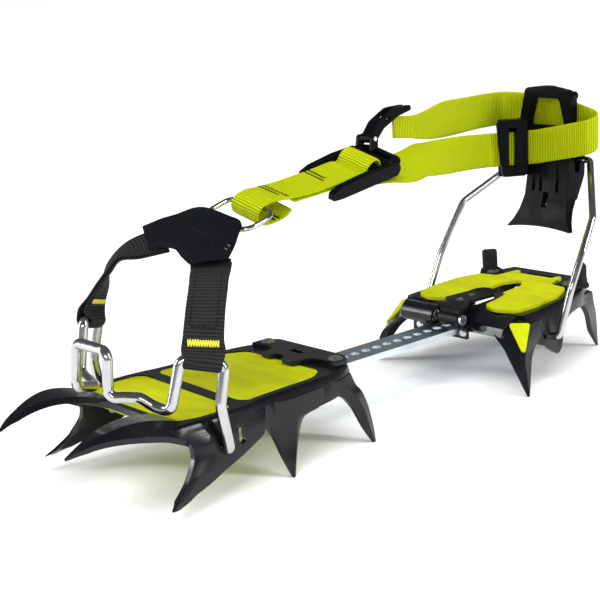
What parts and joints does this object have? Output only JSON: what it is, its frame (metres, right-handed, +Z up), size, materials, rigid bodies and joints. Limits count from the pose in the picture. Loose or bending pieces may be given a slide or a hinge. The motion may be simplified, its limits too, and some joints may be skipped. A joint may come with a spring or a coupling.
{
  "type": "crampon",
  "caption": "Strap-on and semi-step-in steel crampon with a wire toe bail, webbing harness, adjustable linking bar and a heel lever on a wire bail.",
  "frame": {"origin": "on the ground under the middle of the part's bounding box, points resting on z = 0", "axes": "+Z up, -Y towards the toe and its frontal points, +X to the side with the short strap loop end"},
  "size_m": [0.1144, 0.3748, 0.1564],
  "materials": {
    "black_steel": "gloss black coating over folded sheet steel",
    "latch_steel": "satin black coating",
    "bar_steel": "blue-grey tempered spring steel",
    "wire_steel": "polished stainless wire",
    "rivet_steel": "bright plated steel",
    "screw_steel": "blued steel",
    "lime_plastic": "fine matte moulding",
    "black_plastic": "smooth nylon with a soft shine",
    "rubber": "matte",
    "black_webbing": "woven polyester, doubled and stitched",
    "lime_webbing": "woven polyester",
    "patch_fabric": "coated woven fabric, stitched"
  },
  "bodies": {
    "front_unit": {"front_frame": "black_steel", "front_snow_plate_fore": "lime_plastic", "front_snow_plate_aft": "lime_plastic", "bar_anchor": "black_steel", "front_rivets": "rivet_steel", "linking_bar": "bar_steel", "bar_rivet": "rivet_steel"},
    "toe_bail": {"toe_bail": "wire_steel", "webbing_leg_near": "black_webbing", "webbing_leg_far": "black_webbing"},
    "harness": {"v_patch": "patch_fabric", "strap_ring": "wire_steel", "ring_strap": "lime_webbing", "buckle_frame": "black_plastic", "hook_axle": "rivet_steel"},
    "hook": {"buckle_hook": "black_plastic"},
    "heel_unit": {"heel_frame": "black_steel", "heel_snow_plate": "lime_plastic", "point_insert_near": "lime_plastic", "point_insert_far": "lime_plastic", "heel_stop_near": "rubber", "heel_stop_far": "rubber", "heel_rivets": "rivet_steel", "bar_guide": "black_steel", "guide_rivets": "rivet_steel", "latch_axle": "rivet_steel", "latch_spring": "wire_steel"},
    "latch": {"latch_lever": "latch_steel", "latch_pin": "rivet_steel", "latch_rivet": "rivet_steel"},
    "heel_bail": {"heel_bail": "wire_steel"},
    "carriage": {"lever_carriage": "rivet_steel"},
    "heel_lever": {"lever_body": "black_plastic", "long_strap": "lime_webbing"},
    "screw": {"adjust_screw": "screw_steel"}
  },
  "joints": [
    {"name": "toe_bail_swing", "type": "hinge", "parent": "front_unit", "child": "toe_bail", "pos_m": [0, -0.118, 0.0246], "axis": [1, 0, 0], "range_deg": [-25, 0]},
    {"name": "harness_swing", "type": "hinge", "parent": "toe_bail", "child": "harness", "pos_m": [0, -0.124, 0.065], "axis": [1, 0, 0], "range_deg": [0, 25], "deforming": ["webbing_leg_near", "webbing_leg_far"]},
    {"name": "hook_swing", "type": "hinge", "parent": "harness", "child": "hook", "pos_m": [0, 0.0315, 0.1399], "axis": [1, 0, 0], "range_deg": [0, 25]},
    {"name": "length_adjust", "type": "slide", "parent": "front_unit", "child": "heel_unit", "axis": [0, 1, 0], "range_m": [-0.032, 0.016]},
    {"name": "latch_lift", "type": "hinge", "parent": "heel_unit", "child": "latch", "pos_m": [0, 0.0735, 0.0372], "axis": [1, 0, 0], "range_deg": [0, 30], "stiffness_Nm_per_rad": 0.05, "springref_deg": -11.46},
    {"name": "heel_bail_swing", "type": "hinge", "parent": "heel_unit", "child": "heel_bail", "pos_m": [0, 0.116, 0.024], "axis": [1, 0, 0], "range_deg": [-15, 25]},
    {"name": "lever_tilt", "type": "hinge", "parent": "heel_bail", "child": "carriage", "pos_m": [0, 0.18, 0.112], "axis": [1, 0, 0], "range_deg": [-40, 5], "deforming": ["long_strap"]},
    {"name": "micro_adjust", "type": "slide", "parent": "carriage", "child": "heel_lever", "axis": [0, 0, 1], "range_m": [-0.004, 0.004]},
    {"name": "screw_turn", "type": "hinge", "parent": "heel_lever", "child": "screw", "pos_m": [0, 0.1754, 0.086], "axis": [0, 0, 1], "range_deg": [-1200, 1200]}
  ],
  "couplings": [
    {"joint": "harness_swing", "follows": "toe_bail_swing", "ratio": -1},
    {"joint": "screw_turn", "follows": "micro_adjust", "rad_per_m": 5026.5}
  ]
}
